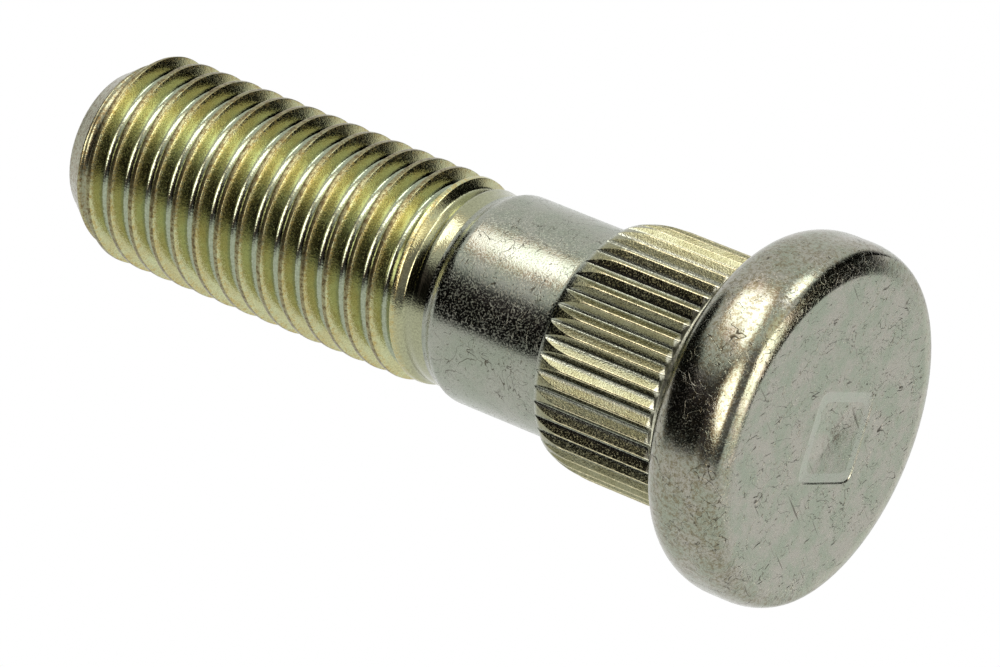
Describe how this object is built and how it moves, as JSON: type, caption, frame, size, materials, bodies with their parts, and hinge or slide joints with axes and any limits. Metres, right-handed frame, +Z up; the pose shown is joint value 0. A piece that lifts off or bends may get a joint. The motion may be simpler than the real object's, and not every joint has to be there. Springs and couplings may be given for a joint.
{
  "type": "press-in wheel stud",
  "caption": "Steel press-in wheel stud: a round head, a serrated collar that grips the hub, a plain shank and a threaded end with a chamfered tip.",
  "frame": {"origin": "middle of the head's flat outer face, on which the stud stands", "axes": "+Z runs up the stud's axis from the head to the tip of the thread; X and Y lie along the sides of the rectangular forging mark in the head"},
  "size_m": [0.02, 0.02, 0.0481],
  "materials": {
    "zinc_plated_steel": "zinc plated with a thin yellow-green passivation, bright on the rolled surfaces and mottled grey on the forged head"
  },
  "bodies": {
    "root": {"wheel_stud": "zinc_plated_steel"}
  },
  "joints": []
}
